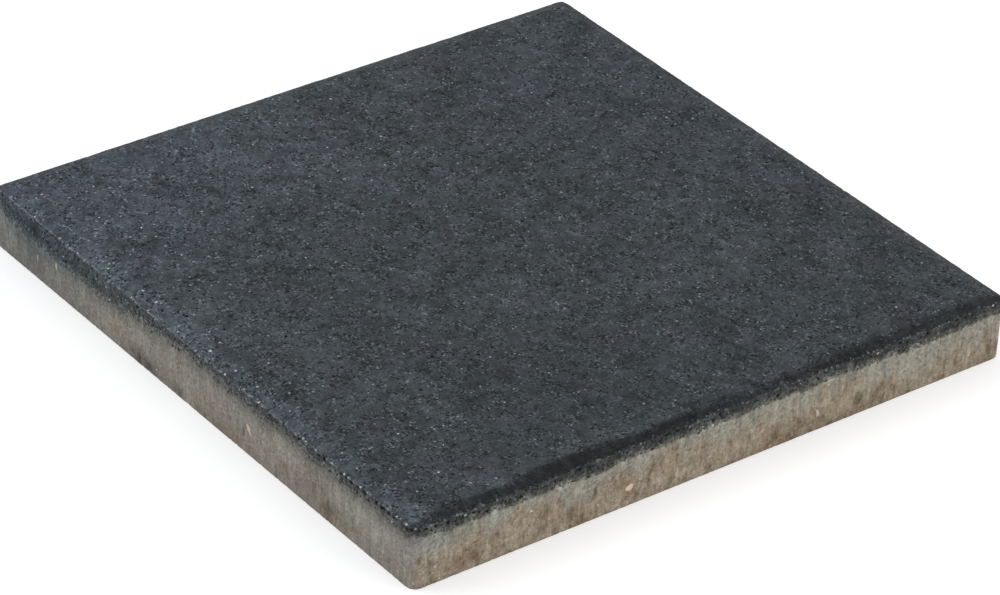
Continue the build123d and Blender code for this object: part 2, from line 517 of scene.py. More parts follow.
bed = Cloud()
px, py, nx, ny = perimeter(S_BED)
bed_border = np.stack([px - LOOP * nx, py - LOOP * ny], 1)
bed.add(bed_border)
rng = np.random.default_rng(22)
for _ in range(260):
    x, y = rng.uniform(-HALF + 6, HALF - 6, 2)
    r = float(np.clip(rng.lognormal(math.log(1.6), 0.5), 0.8, 5.0))
    if bed.clear(x, y, r + 0.5):
        bed.feature(x, y, r, r * rng.uniform(0.6, 1.0), rng.uniform(0, 3), pit_rings(0.35 * r + 0.2, r), rng, ragged=0.35)
base = jittered(-HALF + 3.6, HALF - 3.6, -HALF + 3.6, HALF - 3.6, 7.0, 6.4, rng)
corner = np.hypot(np.maximum(np.abs(base[:, 0]) - FLAT, 0), np.maximum(np.abs(base[:, 1]) - FLAT, 0))
base = base[corner < RADIUS - 3.0]
base = base[bed.free(base, 0.6)]
bed.add(base)
bed_xy, bed_rows, bed_spots = bed.done()
bed_tri = triangulate(bed_xy, list(range(len(bed_border))))


# ---------------------------------------------------------------- from the flat domains to space

def bezier(p0, c, p1, u):
    u = u[:, None]
    return (1 - u) ** 2 * p0 + 2 * u * (1 - u) * c + u ** 2 * p1


def place_strip(s, t):
    """Undisplaced position, normal, plan position and signed distance past the arris."""
    x, y, nx, ny = perimeter(s)
    plan = np.stack([x, y], 1)
    normal = np.stack([nx, ny], 1)

    def at(inset, z):
        return np.concatenate([plan - inset[:, None] * normal, z[:, None]], 1)

    arris, _ = face_height(x, y)
    q = t - T_ARRIS
    inset = np.maximum(q, 0.0)
    over = plan - inset[:, None] * normal
    height, _ = face_height(over[:, 0], over[:, 1])
    z = np.where(q > 0, height, arris * np.clip(t, 0, None) / T_ARRIS)
    p = at(inset, z)
    soft = 0.75
    near = np.abs(q) < soft
    if near.any():
        one = np.ones(near.sum())
        pl, no = plan[near], normal[near]
        p0 = np.concatenate([pl, (arris[near] - soft)[:, None]], 1)
        c = np.concatenate([pl, arris[near][:, None]], 1)
        inner = pl - soft * no
        h, _ = face_height(inner[:, 0], inner[:, 1])
        p1 = np.concatenate([inner, h[:, None]], 1)
        p[near] = bezier(p0, c, p1, (q[near] + soft) / (2 * soft))
    low = t < 1.2
    if low.any():
        pl, no = plan[low], normal[low]
        zero = np.zeros((low.sum(), 1))
        p0 = np.concatenate([pl - LOOP * no, zero], 1)
        c = np.concatenate([pl, zero], 1)
        p1 = np.concatenate([pl, zero + arris[low][:, None] * 1.2 / T_ARRIS], 1)
        p[low] = bezier(p0, c, p1, t[low] / 1.2)
    up = smooth(q, -0.7, 0.7)
    down = smooth(-t, -1.0, 0.0)
    side = 1 - np.maximum(up, down)
    n = np.concatenate([normal * side[:, None], (up - down)[:, None]], 1)
    n /= np.linalg.norm(n, axis=1)[:, None] + 1e-9
    return p, n, plan, q


def relief(p, kind, q=None, line=None):
    """Displacement of the mean surface in mm, outwards."""
    if kind == "top":
        return 0.09 * noise(p, 75.0, 41) + 0.07 * noise(p, 24.0, 42) + 0.06 * noise(p, 9.0, 43) + 0.03 * noise(p, 4.5, 44)
    if kind == "bed":
        return -0.25 + 0.2 * noise(p, 30.0, 51, 2) + 0.12 * noise(p, 8.0, 52)
    above = smooth(p[:, 2] - line, -0.8, 0.8)
    smear = 0.12 * noise(p, 60.0, 45) + 0.10 * noise(p, (6.5, 6.5, 70.0), 46) + 0.07 * noise(p, (3.6, 3.6, 40.0), 47)
    ragged = -0.32 + 0.2 * noise(p, 6.0, 48) + 0.22 * noise(p, 2.9, 49)
    back = smooth(np.maximum(p[:, 0], p[:, 1]), HALF - 16.0, HALF - 6.0)
    rim = np.exp(-(q / 1.1) ** 2) * (0.16 * noise(p, 7.0, 61) + 0.2 * noise(p, 3.4, 62) - 0.05) * (1 - 0.6 * back)
    rim_breakup = np.maximum(-p[:, 0] / HALF, 0) ** 8 * (1 - 0.7 * smooth(p[:, 1], 225.0, 245.0))
    rim = rim + np.exp(-(q / 1.7) ** 2) * rim_breakup * np.minimum(0.5 * noise(p, 13.0, 63) + 0.4 * noise(p, 6.0, 64) - 0.32, 0.05)
    smear = smear * (0.15 + 0.85 * smooth(p[:, 2], 0.0, 9.0))
    past = smooth(q, -0.3, 1.2)
    side = smear * (1 - above) + ragged * above * (1 - 0.75 * smooth(q, -1.6, -0.2))
    over = 0.09 * noise(p, 75.0, 41) + 0.07 * noise(p, 24.0, 42) + 0.06 * noise(p, 9.0, 43) + 0.03 * noise(p, 4.5, 44)
    return side * (1 - past) + over * past + rim


def shrink(p):
    """Takes the mean surface SKIN inside the outer box on every side but the bed."""
    k = (HALF - SKIN) / HALF
    out = p.copy()
    out[:, :2] *= k
    out[:, 2] -= SKIN * smooth(p[:, 2], 30.0, 46.0)
    return out


def finished(p, n, off):
    q = shrink(p) + n * off[:, None]
    q[:, :2] = np.clip(q[:, :2], -HALF, HALF)
    q[:, 2] = np.clip(q[:, 2], 0.0, THICK)
    return q


# walking face
x, y = top_xy[:, 0], top_xy[:, 1]
z, on = face_height(x, y)
p_top = np.stack([x, y, z], 1)
n_top3 = np.tile([0.0, 0.0, 1.0], (len(x), 1))
calm = 1 - 0.35 * np.max(on, axis=0)
pos_top = finished(p_top, n_top3, relief(p_top, "top") * calm + top_rows[:, 0])

# side strip
p_strip, n_strip, plan, q = place_strip(strip_xy[:, 0], strip_xy[:, 1])
line = mix_line(plan[:, 0], plan[:, 1])
pos_strip = finished(p_strip, n_strip, relief(p_strip, "side", q, line) + strip_rows[:, 0])
_, on_strip = face_height(p_strip[:, 0], p_strip[:, 1])

# bed face
p_bed = np.stack([bed_xy[:, 0], bed_xy[:, 1], np.zeros(len(bed_xy))], 1)
n_bed3 = np.tile([0.0, 0.0, -1.0], (len(p_bed), 1))
off_bed = np.minimum(relief(p_bed, "bed"), -0.02) * smooth(HALF - np.abs(p_bed[:, :2]).max(1), 1.0, 6.0)
pos_bed = finished(p_bed, n_bed3, off_bed + bed_rows[:, 0])

# one list of vertices: the strip's, then the inner ones of the two faces
n_s = len(strip_xy)
strip_map = np.arange(n_s)
first_right = n_bed + 0                       # the copy of s = 0 at s = PERIM, bottom
strip_map[first_right] = 0
right_seam = np.arange(n_bed + 1, n_bed + 1 + len(seam_t))
top_right = n_bed + 1 + len(seam_t)
top_row = top_right + 1 + np.arange(n_top)    # from S_TOP[-1] down to S_TOP[0] = 0
left_seam = top_row[-1] + 1 + np.arange(len(seam_t))
strip_map[right_seam] = left_seam[::-1]
strip_map[top_right] = top_row[-1]
top_map = np.concatenate([top_row[::-1], n_s + np.arange(len(top_xy) - n_top)])
n_t = len(top_xy) - n_top
bed_map = np.concatenate([np.arange(n_bed), n_s + n_t + np.arange(len(bed_xy) - n_bed)])

points = np.concatenate([pos_strip, pos_top[n_top:], pos_bed[n_bed:]])
faces = np.concatenate([strip_map[strip_tri], top_map[top_tri], bed_map[bed_tri][:, ::-1]])
good = (faces[:, 0] != faces[:, 1]) & (faces[:, 1] != faces[:, 2]) & (faces[:, 2] != faces[:, 0])
domain = np.concatenate([np.zeros(len(strip_tri), int), np.ones(len(top_tri), int), np.full(len(bed_tri), 2)])
flat_uv = np.concatenate([strip_xy[strip_tri], top_xy[top_tri], bed_xy[bed_tri][:, ::-1]])[good]
faces, domain = faces[good], domain[good]
used = np.zeros(len(points), bool)
used[faces.ravel()] = True
renumber = np.cumsum(used) - 1
points, faces = points[used], renumber[faces]


def gathered(a, b, c):
    return np.concatenate([a, b[n_top:], c[n_bed:]])[used]


# ---------------------------------------------------------------- what the material reads at each vertex

pit = gathered(strip_rows[:, 1], top_rows[:, 1], bed_rows[:, 1])
grain = gathered(strip_rows[:, 2], top_rows[:, 2], bed_rows[:, 2])
tone = gathered(strip_rows[:, 3], top_rows[:, 3], bed_rows[:, 3])
spot = gathered(strip_spots, top_spots, bed_spots)



def paste(p):
    """How smooth and closed the paste is on the four bevels."""
    one = np.ones(len(p))
    front = np.interp(p[:, 0], [-250, -215, -185, -165, -80, -40, 10, 60, 150, 250], [0.15, 0.3, 0.6, 0.85, 0.85, 0.65, 0.4, 0.45, 0.55, 0.4])
    return np.stack([0.12 * one, front, 0.3 * one, 0.3 * one])


bev_strip = np.max(np.array(on_strip) * paste(p_strip), axis=0) * smooth(q, -0.5, 0.6)
bevel = gathered(bev_strip, np.max(np.array(on) * paste(p_top), axis=0), np.zeros(len(bed_xy)))
west = np.maximum(-p_strip[:, 0] / HALF, 0) ** 8
# rim: the strip along the arris that is lightened, most of all on the -X side, for lighter grains and a painted
# highlight
rim_strip = np.exp(-((q - 0.25) / 0.75) ** 2) * (1 - west) * 0.55 + np.exp(-((q - 0.35) / 1.15) ** 2) * west
rim = gathered(rim_strip, np.zeros(len(top_xy)), np.zeros(len(bed_xy)))
# height above the face-mix line on the sides, far positive on top and far negative below
above = gathered(np.clip(p_strip[:, 2] - line + 8.0 * smooth(q, -0.6, 1.0), -12, 12), np.full(len(top_xy), 12.0), np.full(len(bed_xy), -12.0))
# 1 on the walking face and bevel, 0 on the sides
upward = gathered(smooth(q, -0.9, 0.2), np.ones(len(top_xy)), np.zeros(len(bed_xy)))


def blobs(p, items):
    """Soft coloured patches: x, y, z, radii, colour factor."""
    wash = np.ones((len(p), 3))
    for cx, cy, cz, rx, ry, rz, colour in items:
        d = ((p[:, 0] - cx) / rx) ** 2 + ((p[:, 1] - cy) / ry) ** 2 + ((p[:, 2] - cz) / rz) ** 2
        w = np.exp(-1.2 * d)[:, None]
        if cz < 45:
            w = np.clip(w * (1.0 + 0.55 * noise(p, 5.0, 81, 2)[:, None]), 0, 1)
        wash *= 1 + (np.array(colour) - 1) * w
    return wash


PATCHES = [
    (-214, -250, 9, 7, 9, 7, (0.78, 0.66, 0.58)), (-200, -250, 25, 6, 9, 5, (0.86, 0.76, 0.68)), (38, -250, 3, 6, 9, 4, (0.82, 0.68, 0.58)),
    (56, -250, 3, 6, 9, 4, (0.82, 0.68, 0.58)), (114, -250, 3, 7, 9, 4, (0.8, 0.68, 0.6)), (-250, 60, 4, 9, 18, 8, (0.28, 0.32, 0.33)), (-250, 19, 4, 9, 8, 6, (0.34, 0.38, 0.37)), (-198, -250, 33, 42, 9, 9, (1.03, 1.08, 1.09)),
    (-110, -250, 34, 13, 9, 8, (1.05, 1.08, 1.08)), (-250, -137, 21, 9, 14, 11, (0.82, 0.71, 0.64)), (-250, -100, 28, 9, 20, 9, (1.1, 1.08, 1.04)), (-250, 95, 18, 9, 22, 9, (1.14, 1.11, 1.05)), (-250, -20, 22, 9, 9, 12, (1.1, 1.08, 1.04)), (-250, -55, 8, 9, 12, 8, (0.86, 0.8, 0.74)),
    (-250, 10, 12, 9, 14, 12, (1.05, 1.03, 0.98)), (-250, -190, 20, 9, 14, 14, (1.06, 1.08, 1.06)), (-250, -225, 6, 9, 10, 6, (0.94, 0.95, 0.93)), (-250, 150, 12, 9, 22, 10, (1.08, 1.06, 1.02)), (-250, -30, 3, 9, 16, 5, (0.78, 0.76, 0.7)), (-250, 25, 27, 9, 30, 12, (0.92, 0.92, 0.92)),
    (-250, -158, 9, 9, 14, 9, (0.74, 0.66, 0.56)), (-45, -250, 44, 24, 9, 4, (0.62, 0.62, 0.62)), (-234, -250, 29, 15, 9, 11, (1.12, 1.16, 1.19)), (-120, -250, 43, 14, 9, 4, (0.7, 0.7, 0.7)), (-250, -105, 15, 9, 7, 4, (0.9, 0.76, 0.7)), (-250, 13, 23, 9, 6, 4, (0.95, 0.82, 0.76)),
    (-250, 201, 37, 9, 17, 6, (0.55, 0.57, 0.62)), (-250, -68, 38, 9, 12, 3, (0.75, 0.75, 0.75)),
    # the broad patches at z = 50 tint the walking face lighter and bluer towards the -X side and the back, and darker
    # in the middle near the front; the light, bluish far left is partly painted glare
    (-20, -18, 50, 20, 14, 9, (1.03, 0.99, 0.96)), (10, 12, 50, 14, 11, 9, (1.04, 0.98, 0.95)), (-250, 55, 38, 9, 60, 7, (1.28, 1.28, 1.26)),
    (-240, 240, 50, 210, 170, 9, (1.12, 1.17, 1.27)), (-110, 180, 50, 120, 75, 9, (1.2, 1.2, 1.2)), (240, 120, 50, 150, 190, 9, (0.98, 0.99, 1.05)),
    (-70, -160, 50, 100, 55, 9, (0.84, 0.84, 0.845)), (110, -190, 50, 120, 45, 9, (0.93, 0.93, 0.94)), (-250, -40, 50, 90, 260, 12, (1.14, 1.14, 1.15)), (-60, -205, 50, 110, 32, 9, (0.86, 0.86, 0.87)),
    (-145, -20, 50, 60, 120, 9, (0.96, 0.97, 0.97)),
    # both sides are paler at the front corner, the foot of the -Y side is browner, and the smear reaches low at the far end of the -X side
    (-240, -250, 16, 12, 9, 24, (1.15, 1.17, 1.18)), (-250, -215, 15, 9, 24, 14, (1.1, 1.12, 1.12)), (110, -250, 4, 120, 9, 7, (0.88, 0.87, 0.84)),
    (-250, 204, 18, 9, 18, 12, (0.66, 0.68, 0.72)),
]
wash_strip, wash_top = blobs(p_strip, PATCHES), blobs(p_top, PATCHES)
# the bevel along the -Y side is the darkest: darker paste with painted shade, as its smooth face turns from the
# light; the one along the -X side has a painted light bluish sheen, the light reflected off its smooth paste
for wash, place, on_here, up, over, edge_at in ((wash_strip, p_strip, on_strip, smooth(q, -0.5, 0.6), p_strip[:, 2] - line, q),
                                                (wash_top, p_top, on, np.ones(len(p_top)), np.full(len(p_top), 12.0), np.full(len(p_top), 30.0))):
    # depth: how dark the band is along the -Y side, darker paste and painted shade together
    depth = np.interp(place[:, 0], [-250, -238, -225, -192, -170, -100, -70, -20, 10, 60, 110, 160, 210, 250],
                      [0.75, 0.55, 0.42, 0.27, 0.2, 0.16, 0.22, 0.28, 0.42, 0.4, 0.32, 0.34, 0.38, 0.4])
    depth = np.maximum(depth + 0.07 * noise(place, 14.0, 71) + 0.17 * noise(place, 3.2, 72, 2), 0.08)
    dark = dark_band(place[:, 0], place[:, 1]) * up * (1 - smooth(on_here[0] - on_here[1], -0.2, 0.4))
    wash *= (1 + (depth - 1) * dark)[:, None]
    # a painted bluish sheen on the bevel of the -X side: the light reflected off its smooth paste
    painted_sheen = (on_here[0] * up * (1 - dark))[:, None]
    wash *= 1 + (np.array([1.28, 1.31, 1.33]) - 1) * painted_sheen
    # the -X side is cooler, most of all at its far end, and the face mix is smeared down over it
    lean = np.maximum(-place[:, 0] / HALF, 0) ** 8 * (1 - up)
    far = smooth(place[:, 1], 60.0, 190.0)
    cool = 1 + (np.array([0.9, 0.905, 0.95]) - 1) * lean[:, None]
    cool *= 1 + (np.array([0.74, 0.8, 0.87]) - 1) * (lean * far)[:, None]
    smeared = smooth(over, -11.0, 0.5) * (1 - 0.75 * smooth(over, 0.0, 3.0)) * lean
    cool *= 1 - 0.36 * smeared[:, None]
    wash *= cool
    high = smooth(over, -3.0, 1.0) * lean * far
    wash *= 1 + (np.array([1.26, 1.36, 1.43]) - 1) * high[:, None]
    # along the -X side the face mix above the line is lighter, and a painted highlight runs just below the arris
    wash *= 1 + (0.26 * smooth(over, 0.0, 2.5) * lean + 0.3 * np.exp(-((edge_at + 1.0) / 1.1) ** 2) * lean)[:, None]
    # the open rim of the -Y side is clotted, lighter and darker
    lean_y = np.maximum(-place[:, 1] / HALF, 0) ** 8 * (1 - up)
    wash *= 1 + (np.clip(0.85 * noise(place, 5.5, 73, 2), -0.4, 0.55) * smooth(over, -2.5, 0.5) * lean_y)[:, None]
wash = gathered(wash_strip, wash_top, np.ones((len(bed_xy), 3)))

# ---------------------------------------------------------------- the mesh

mesh = bpy.data.meshes.new("paving_slab_surface")
mesh.vertices.add(len(points))
mesh.vertices.foreach_set("co", (points / 1000.0).astype(np.float32).ravel())
mesh.loops.add(len(faces) * 3)
mesh.loops.foreach_set("vertex_index", faces.astype(np.int32).ravel())
mesh.polygons.add(len(faces))
mesh.polygons.foreach_set("loop_start", np.arange(0, len(faces) * 3, 3, dtype=np.int32))
mesh.update(calc_edges=True)
mesh.validate()
mesh.shade_smooth()
for name, values in (("pit", pit), ("grain", grain), ("tone", tone), ("bevel", bevel), ("rim", rim), ("above", above), ("upward", upward)):
    a = mesh.attributes.new(name, "FLOAT", "POINT")
    a.data.foreach_set("value", values.astype(np.float32))
for name, values in (("wash", np.concatenate([wash, np.ones((len(wash), 1))], 1)), ("spot", spot)):
    a = mesh.attributes.new(name, "FLOAT_COLOR", "POINT")
    a.data.foreach_set("color", values.astype(np.float32).ravel())

# texture layout: the walking face large, the four sides in strips beside it, the bed face small in the corner
uv = np.zeros((len(faces), 3, 2))
m = domain == 1
uv[m] = 0.01 + (flat_uv[m] + HALF) / (2 * HALF) * 0.775
m = domain == 2
uv[m] = 0.805 + (flat_uv[m] + HALF) / (2 * HALF) * 0.185
m = domain == 0
st = flat_uv[m]
corner_at = np.array([FLAT + ARC / 2, 3 * FLAT + 1.5 * ARC, 5 * FLAT + 2.5 * ARC, 7 * FLAT + 3.5 * ARC])
middle = st[:, :, 0].mean(1)
side_of = np.searchsorted(corner_at, middle) % 4
start = np.where(side_of == 0, np.where(middle > PERIM / 2, corner_at[3], corner_at[3] - PERIM), corner_at[(side_of - 1) % 4])
along = 0.01 + (st[:, :, 0] - start[:, None]) * 0.00156
across = st[:, :, 1] * 0.00156
lane = np.where((side_of == 0) | (side_of == 2), 0.805, 0.9)[:, None] + across
level = side_of < 2
strip_uv = np.where(level[:, None, None], np.stack([along, lane], 2), np.stack([lane, along], 2))
uv[m] = strip_uv
layer = mesh.uv_layers.new(name="OFBake")
layer.data.foreach_set("uv", uv.astype(np.float32).ravel())

slab = bpy.data.objects.new("paving_slab_surface", mesh)
bpy.context.scene.collection.objects.link(slab)
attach(slab, "root")
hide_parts("paving_slab")


# ---------------------------------------------------------------- the material

def linear(r, g, b):
    out = []
    for v in (r, g, b):
        v = v / 255.0
        out.append(v / 12.92 if v <= 0.04045 else ((v + 0.055) / 1.055) ** 2.4)
    return out


class Graph:
    """Short names for making shader nodes."""

    def __init__(self, material):
        material.use_nodes = True
        self.tree = material.node_tree
        self.tree.nodes.clear()

    def node(self, kind, **props):
        n = self.tree.nodes.new(kind)
        for k, v in props.items():
            setattr(n, k, v)
        return n

    def put(self, socket, value):
        if isinstance(value, bpy.types.NodeSocket):
            self.tree.links.new(value, socket)
        elif isinstance(value, (tuple, list)) and len(value) == 3 and socket.type == "RGBA":
            socket.default_value = (*value, 1.0)
        else:
            socket.default_value = value

    def math(self, op, a, b=0.0, c=None, clamp=False):
        n = self.node("ShaderNodeMath", operation=op, use_clamp=clamp)
        self.put(n.inputs[0], a)
        self.put(n.inputs[1], b)
        if c is not None:
            self.put(n.inputs[2], c)
        return n.outputs[0]

    def ramp(self, x, lo, hi, to_lo=0.0, to_hi=1.0, soft=True):
        n = self.node("ShaderNodeMapRange", interpolation_type="SMOOTHSTEP" if soft else "LINEAR")
        for k, v in zip(("Value", "From Min", "From Max", "To Min", "To Max"), (x, lo, hi, to_lo, to_hi)):
            self.put(n.inputs[k], v)
        return n.outputs["Result"]

    def mix(self, share, a, b, how="MIX"):
        n = self.node("ShaderNodeMix", data_type="RGBA", blend_type=how)
        self.put(n.inputs["Factor"], share)
        self.put(n.inputs[6], a)
        self.put(n.inputs[7], b)
        return n.outputs[2]

    def scaled(self, vector, factor):
        n = self.node("ShaderNodeVectorMath", operation="MULTIPLY")
        self.put(n.inputs[0], vector)
        n.inputs[1].default_value = factor
        return n.outputs[0]

    def noise(self, vector, scale, detail=2.0, rough=0.5, w=0.0):
        n = self.node("ShaderNodeTexNoise", noise_dimensions="4D")
        self.put(n.inputs["Vector"], vector)
        self.put(n.inputs["W"], w)
        self.put(n.inputs["Scale"], scale)
        self.put(n.inputs["Detail"], detail)
        self.put(n.inputs["Roughness"], rough)
        return n.outputs[0]

    def cells(self, vector, scale, random=1.0, feature="F1"):
        n = self.node("ShaderNodeTexVoronoi", feature=feature)
        self.put(n.inputs["Vector"], vector)
        self.put(n.inputs["Scale"], scale)
        self.put(n.inputs["Randomness"], random)
        return n

    def attribute(self, name):
        return self.node("ShaderNodeAttribute", attribute_name=name, attribute_type="GEOMETRY")


TOP_GAIN = 0.62        # albedo for each unit of the tone wanted in the picture
SIDE_GAIN = 0.80
BODY_GAIN = 0.725


def tone_of(rgb, gain):
    return [v * gain for v in linear(*rgb)]


concrete = bpy.data.materials.new("pressed_concrete")
g = Graph(concrete)
coords = g.node("ShaderNodeTexCoord").outputs["Object"]
mm = g.scaled(coords, (1000.0, 1000.0, 1000.0))
streaky = g.scaled(coords, (1000.0, 1000.0, 140.0))
a_pit, a_grain, a_tone = (g.attribute(n).outputs["Fac"] for n in ("pit", "grain", "tone"))
a_bevel, a_rim, a_above, a_up = (g.attribute(n).outputs["Fac"] for n in ("bevel", "rim", "above", "upward"))
a_wash = g.attribute("wash").outputs["Color"]
spot_node = g.attribute("spot")

# --- face mix: anthracite paste with fine sand
fine = g.noise(mm, 0.35, 3.0, 0.9, 1.0)
finer = g.noise(mm, 0.7, 2.0, 0.6, 31.0)
medium = g.noise(mm, 0.11, 2.0, 0.5, 3.0)
broad = g.noise(mm, 0.025, 2.0, 0.5, 4.0)

# the paste varies a little in hue, bluish to greenish, with a few faint violet patches
face = g.mix(g.ramp(g.noise(mm, 0.035, 2.0, 0.55, 5.0), 0.38, 0.62), tone_of((65, 71.5, 75), TOP_GAIN), tone_of((67, 71.5, 75), TOP_GAIN))
face = g.mix(g.ramp(g.noise(mm, 0.03, 1.0, 0.5, 6.0), 0.5, 0.66, 0.0, 0.5), face, tone_of((63.5, 73, 75), TOP_GAIN))
face = g.mix(g.ramp(g.noise(mm, 0.033, 1.0, 0.5, 7.0), 0.53, 0.68, 0.0, 0.6), face, tone_of((69, 70, 78), TOP_GAIN))

# speckle as a factor on the paste, livelier in some patches than in others
lively = g.ramp(g.noise(mm, 0.1, 2.0, 0.5, 9.0), 0.4, 0.6, 0.42, 1.32)
lively = g.math("MULTIPLY", lively, g.ramp(a_bevel, 0.0, 1.0, 1.0, 0.95, False))
sp = g.math("MULTIPLY", g.math("SUBTRACT", fine, 0.5), 5.0)
sp = g.math("ADD", sp, g.math("MULTIPLY", g.math("SUBTRACT", finer, 0.5), 3.2))
sp = g.math("MULTIPLY", sp, lively)
sp = g.math("ADD", sp, g.math("MULTIPLY", g.math("SUBTRACT", medium, 0.5), 1.7))
sp = g.math("ADD", sp, g.math("MULTIPLY", g.math("SUBTRACT", broad, 0.5), 1.1))
sp = g.math("MAXIMUM", g.math("ADD", sp, 0.95), 0.1)


def specks(scale, pick, power, reach, shift):
    """A share of the cells of a cell pattern, each as one soft speck."""
    cell = g.cells(g.scaled(coords, (1000.0, 1000.0, 1000.0 + shift)), scale)
    chosen = g.ramp(g.math("MULTIPLY", cell.outputs["Color"], 1.0), pick[0], pick[1], 0.0, 1.0, False)
    return g.math("MULTIPLY", g.math("POWER", chosen, power), g.ramp(cell.outputs["Distance"], reach[0], reach[1], 1.0, 0.0))


# light sand of two sizes in the paste, and dark pores
sand_light = g.math("MULTIPLY", specks(0.42, (0.5, 1.0), 2.0, (0.25, 0.5), 0.0), lively)
sand_fine = g.math("MULTIPLY", specks(0.6, (0.6, 1.0), 2.0, (0.25, 0.45), 55.0), lively)
pore_dark = g.math("MULTIPLY", specks(0.36, (0.45, 0.68), 1.0, (0.22, 0.43), 400.0), g.math("MINIMUM", lively, 1.0))
sand_large = g.math("MULTIPLY", specks(0.2, (0.66, 1.0), 1.4, (0.1, 0.33), 700.0), g.math("MINIMUM", lively, 1.0))
sp = g.math("ADD", sp, g.math("MULTIPLY", sand_light, 4.3))
sp = g.math("ADD", sp, g.math("MULTIPLY", sand_fine, 3.1))
sp = g.math("ADD", sp, g.math("MULTIPLY", sand_large, 1.15))
sp = g.math("MULTIPLY", sp, g.math("MAXIMUM", g.math("SUBTRACT", 1.0, g.math("MULTIPLY", pore_dark, 0.97)), 0.03))
n = g.node("ShaderNodeVectorMath", operation="SCALE")
g.put(n.inputs[0], face)
g.put(n.inputs["Scale"], sp)
face = n.outputs[0]
grain_colour = g.mix(a_tone, tone_of((92, 96, 100), TOP_GAIN), tone_of((225, 228, 232), TOP_GAIN))
face = g.mix(g.ramp(a_grain, 0.1, 0.75, 0.0, 0.9), face, grain_colour)
n = g.node("ShaderNodeVectorMath", operation="MULTIPLY")
g.put(n.inputs[0], face)
g.put(n.inputs[1], a_wash)
face = n.outputs[0]
# the arris is lighter in places: lighter grains, and a painted highlight where the rounded arris catches the light
rim_breakup = g.math("SUBTRACT", g.noise(mm, 0.3, 3.0, 0.8, 8.0), g.math("MULTIPLY", g.math("SUBTRACT", 1.0, a_rim), 0.12))
rim_highlight_and_grit = g.math("MULTIPLY", g.math("MINIMUM", g.math("MULTIPLY", a_rim, 1.9), 1.0), g.ramp(rim_breakup, 0.43, 0.57))
face = g.mix(g.math("MULTIPLY", rim_highlight_and_grit, 0.75), face, tone_of((146, 151, 153), TOP_GAIN))

# --- face mix on the sides: rough and open, lighter and smeared towards its lower line
drag = g.noise(streaky, 0.42, 3.0, 0.6, 11.0)
lump = g.noise(mm, 0.4, 3.0, 0.9, 12.0)
rough_mix = g.mix(g.ramp(a_above, 0.2, 6.0, 0.0, 1.0, False), tone_of((97, 98, 91), SIDE_GAIN), tone_of((57, 59, 58), SIDE_GAIN))
rs = g.math("MULTIPLY", g.math("SUBTRACT", lump, 0.5), 5.6)
rs = g.math("ADD", rs, g.math("MULTIPLY", g.math("SUBTRACT", drag, 0.5), 1.0))
rs = g.math("ADD", rs, g.math("MULTIPLY", g.math("SUBTRACT", g.noise(mm, 0.11, 2.0, 0.5, 23.0), 0.5), 1.6))
rs = g.math("MAXIMUM", g.math("ADD", rs, 0.98), 0.1)
rs = g.math("ADD", rs, g.math("MULTIPLY", specks(0.42, (0.5, 1.0), 2.0, (0.25, 0.5), 120.0), 3.2))
gap = specks(0.34, (0.4, 0.52), 1.0, (0.2, 0.42), 250.0)
rs = g.math("MULTIPLY", rs, g.math("SUBTRACT", 1.0, g.math("MULTIPLY", gap, 0.9)))
n = g.node("ShaderNodeVectorMath", operation="SCALE")
g.put(n.inputs[0], rough_mix)
g.put(n.inputs["Scale"], rs)
rough_mix = n.outputs[0]
rough_mix = g.mix(g.ramp(a_grain, 0.1, 0.75, 0.0, 0.9), rough_mix, g.mix(a_tone, tone_of((108, 109, 105), SIDE_GAIN), tone_of((178, 178, 171), SIDE_GAIN)))

# --- backing mix: closed grey-green paste dragged down from the top in tongues, open brownish mortar below
height = g.node("ShaderNodeSeparateXYZ")
g.put(height.inputs[0], mm)
z = height.outputs["Z"]
streak = g.noise(streaky, 0.36, 3.0, 0.6, 14.0)
streak_wide = g.noise(streaky, 0.14, 2.0, 0.5, 27.0)
wide_streak = g.noise(g.scaled(coords, (1000.0, 1000.0, 190.0)), 0.075, 3.0, 0.6, 15.0)
grit = g.noise(mm, 0.5, 3.0, 0.8, 17.0)
tongue = g.math("ADD", z, g.math("MULTIPLY", g.math("SUBTRACT", wide_streak, 0.5), 70.0))
tongue = g.math("ADD", tongue, g.math("MULTIPLY", g.math("SUBTRACT", g.noise(mm, 0.14, 3.0, 0.6, 13.0), 0.5), 22.0))
x_side = g.node("ShaderNodeSeparateXYZ")
g.put(x_side.inputs[0], mm)
west = g.ramp(x_side.outputs["X"], -249.0, -243.0, 1.0, 0.0)
tongue = g.math("ADD", tongue, g.ramp(x_side.outputs["X"], 40.0, 180.0, 0.0, 7.0))
closed = g.ramp(g.math("ADD", tongue, g.math("MULTIPLY", west, 8.0)), 17.0, 35.0)

smooth_part = g.mix(g.ramp(wide_streak, 0.4, 0.6), tone_of((140, 136.5, 125), BODY_GAIN), tone_of((147, 143.5, 131), BODY_GAIN))
ss = g.math("ADD", 1.0, g.math("MULTIPLY", g.math("SUBTRACT", streak, 0.5), g.math("SUBTRACT", 1.15, g.math("MULTIPLY", west, 0.3))))
ss = g.math("ADD", ss, g.math("MULTIPLY", g.math("SUBTRACT", grit, 0.5), 2.7))
ss = g.math("ADD", ss, g.math("MULTIPLY", g.math("SUBTRACT", streak_wide, 0.5), 0.8))
n = g.node("ShaderNodeVectorMath", operation="SCALE")
g.put(n.inputs[0], smooth_part)
g.put(n.inputs["Scale"], ss)
smooth_part = n.outputs[0]

